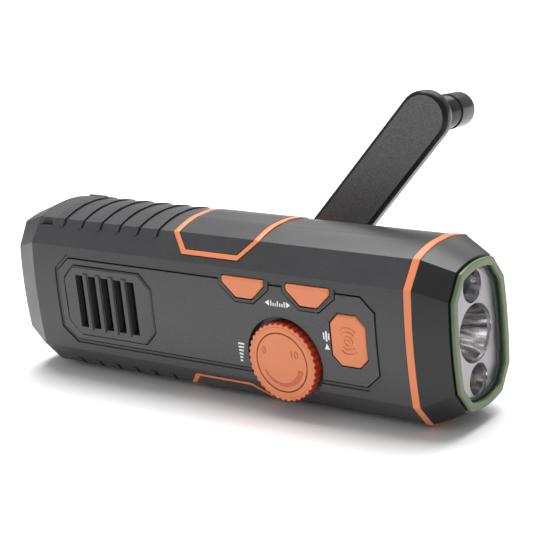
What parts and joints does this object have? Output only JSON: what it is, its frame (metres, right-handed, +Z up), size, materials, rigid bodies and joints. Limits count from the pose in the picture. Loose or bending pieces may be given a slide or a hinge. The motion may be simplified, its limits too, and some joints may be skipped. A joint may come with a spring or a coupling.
{
  "type": "emergency radio",
  "caption": "Hand-crank emergency radio with a torch head, siren button, volume dial, speaker grille and fold-out crank arm.",
  "frame": {"origin": "on the flat of the lower saddle plate, under the middle of the body's length", "axes": "+X towards the torch lens, -Y towards the control face, +Z up from the rest face"},
  "size_m": [0.18, 0.0866, 0.0949],
  "materials": {
    "shell": "fine matt texture, charcoal",
    "panel": "fine matt texture, dark grey",
    "bezel": "satin, near black",
    "orange": "satin moulded orange",
    "glow": "pale green phosphorescent plastic",
    "lens": "clear polycarbonate",
    "reflector": "vacuum metallised",
    "led": "phosphor and clear resin",
    "board": "green solder mask",
    "switch": "black moulded",
    "cloth": "black woven speaker cloth",
    "speaker": "doped paper cone",
    "steel": "zinc plated",
    "magnet": "plated ferrite magnet",
    "battery": "shrink wrapped cell",
    "ferrite": "sintered ferrite",
    "copper": "enamelled copper winding",
    "brass": "turned, bare",
    "nylon": "natural nylon",
    "rubber": "soft moulded, matt",
    "arm": "fine matt texture, dark grey",
    "knob": "polished black",
    "solar": "laminated solar cells",
    "gasket": "foam seal"
  },
  "bodies": {
    "housing": {"front_shell": "shell", "back_shell": "shell", "control_panel": "panel", "grille_insert": "panel", "upper_saddle_plate": "shell", "lower_saddle_plate": "shell", "upper_saddle_trim": "orange", "lower_saddle_trim": "orange", "head_ring": "orange", "head_bezel": "bezel", "glow_ring": "glow", "lens": "lens", "lens_gasket": "gasket", "reflector": "reflector", "led_board": "board", "main_led": "led", "side_leds": "led", "speaker_cloth": "cloth", "speaker": "speaker", "speaker_magnet": "magnet", "potentiometer": "steel", "main_board": "board", "tact_switches": "switch", "battery": "battery", "ferrite_rod": "ferrite", "antenna_coil": "copper", "hub_bush": "brass", "idler_shaft": "steel", "gearbox_plate": "steel", "generator": "steel", "port_cover_pin": "steel", "usb_socket": "steel", "charge_socket": "steel", "port_board": "board", "charge_riser": "switch", "solar_panel": "solar", "light_switch": "switch", "light_board": "board", "case_screws": "steel"},
    "crank_hub": {"crank_hub": "arm", "hinge_pin": "steel", "crank_gear": "nylon"},
    "crank_arm": {"crank_arm": "arm", "knob_pin": "steel"},
    "crank_knob": {"crank_knob": "knob", "knob_cap": "knob"},
    "idler": {"idler_gear": "nylon"},
    "generator_rotor": {"generator_pinion": "brass"},
    "volume_dial": {"volume_dial": "orange", "dial_shaft": "steel"},
    "tuning_down": {"tuning_down_button": "orange"},
    "tuning_up": {"tuning_up_button": "orange"},
    "siren": {"siren_button": "orange"},
    "light": {"light_button": "orange"},
    "port_cover": {"port_cover": "rubber"}
  },
  "joints": [
    {"name": "crank_spin", "type": "hinge", "parent": "housing", "child": "crank_hub", "pos_m": [0.003, 0.0249, 0.02915], "axis": [0, 1, 0], "continuous": true},
    {"name": "crank_fold", "type": "hinge", "parent": "crank_hub", "child": "crank_arm", "pos_m": [0.00784, 0.0249, 0.03488], "axis": [-0.7638, 0, 0.6455], "range_deg": [-10, 170]},
    {"name": "knob_spin", "type": "hinge", "parent": "crank_arm", "child": "crank_knob", "pos_m": [0.05107, 0.03671, 0.08603], "axis": [-0.1121, 0.9848, -0.1326], "continuous": true},
    {"name": "idler_spin", "type": "hinge", "parent": "housing", "child": "idler", "pos_m": [0.0238, 0.012, 0.02915], "axis": [0, 1, 0], "continuous": true},
    {"name": "generator_spin", "type": "hinge", "parent": "housing", "child": "generator_rotor", "pos_m": [0.0382, 0.008, 0.02915], "axis": [0, 1, 0], "continuous": true},
    {"name": "volume_turn", "type": "hinge", "parent": "housing", "child": "volume_dial", "pos_m": [0.0286, -0.02, 0.01905], "axis": [0, 1, 0], "range_deg": [0, 300]},
    {"name": "tuning_down_press", "type": "slide", "parent": "housing", "child": "tuning_down", "axis": [0, 1, 0], "range_m": [0, 0.0008], "stiffness_N_per_m": 800},
    {"name": "tuning_up_press", "type": "slide", "parent": "housing", "child": "tuning_up", "axis": [0, 1, 0], "range_m": [0, 0.0008], "stiffness_N_per_m": 800},
    {"name": "siren_press", "type": "slide", "parent": "housing", "child": "siren", "axis": [0, 1, 0], "range_m": [0, 0.0008], "stiffness_N_per_m": 800},
    {"name": "light_press", "type": "slide", "parent": "housing", "child": "light", "axis": [0, -1, 0], "range_m": [0, 0.0008], "stiffness_N_per_m": 800},
    {"name": "port_cover_open", "type": "hinge", "parent": "housing", "child": "port_cover", "pos_m": [-0.075, 0.0122, 0.0554], "axis": [-1, 0, 0], "range_deg": [0, 110]}
  ],
  "couplings": [
    {"joint": "idler_spin", "follows": "crank_spin", "ratio": -3.3333},
    {"joint": "generator_spin", "follows": "crank_spin", "ratio": 10}
  ]
}
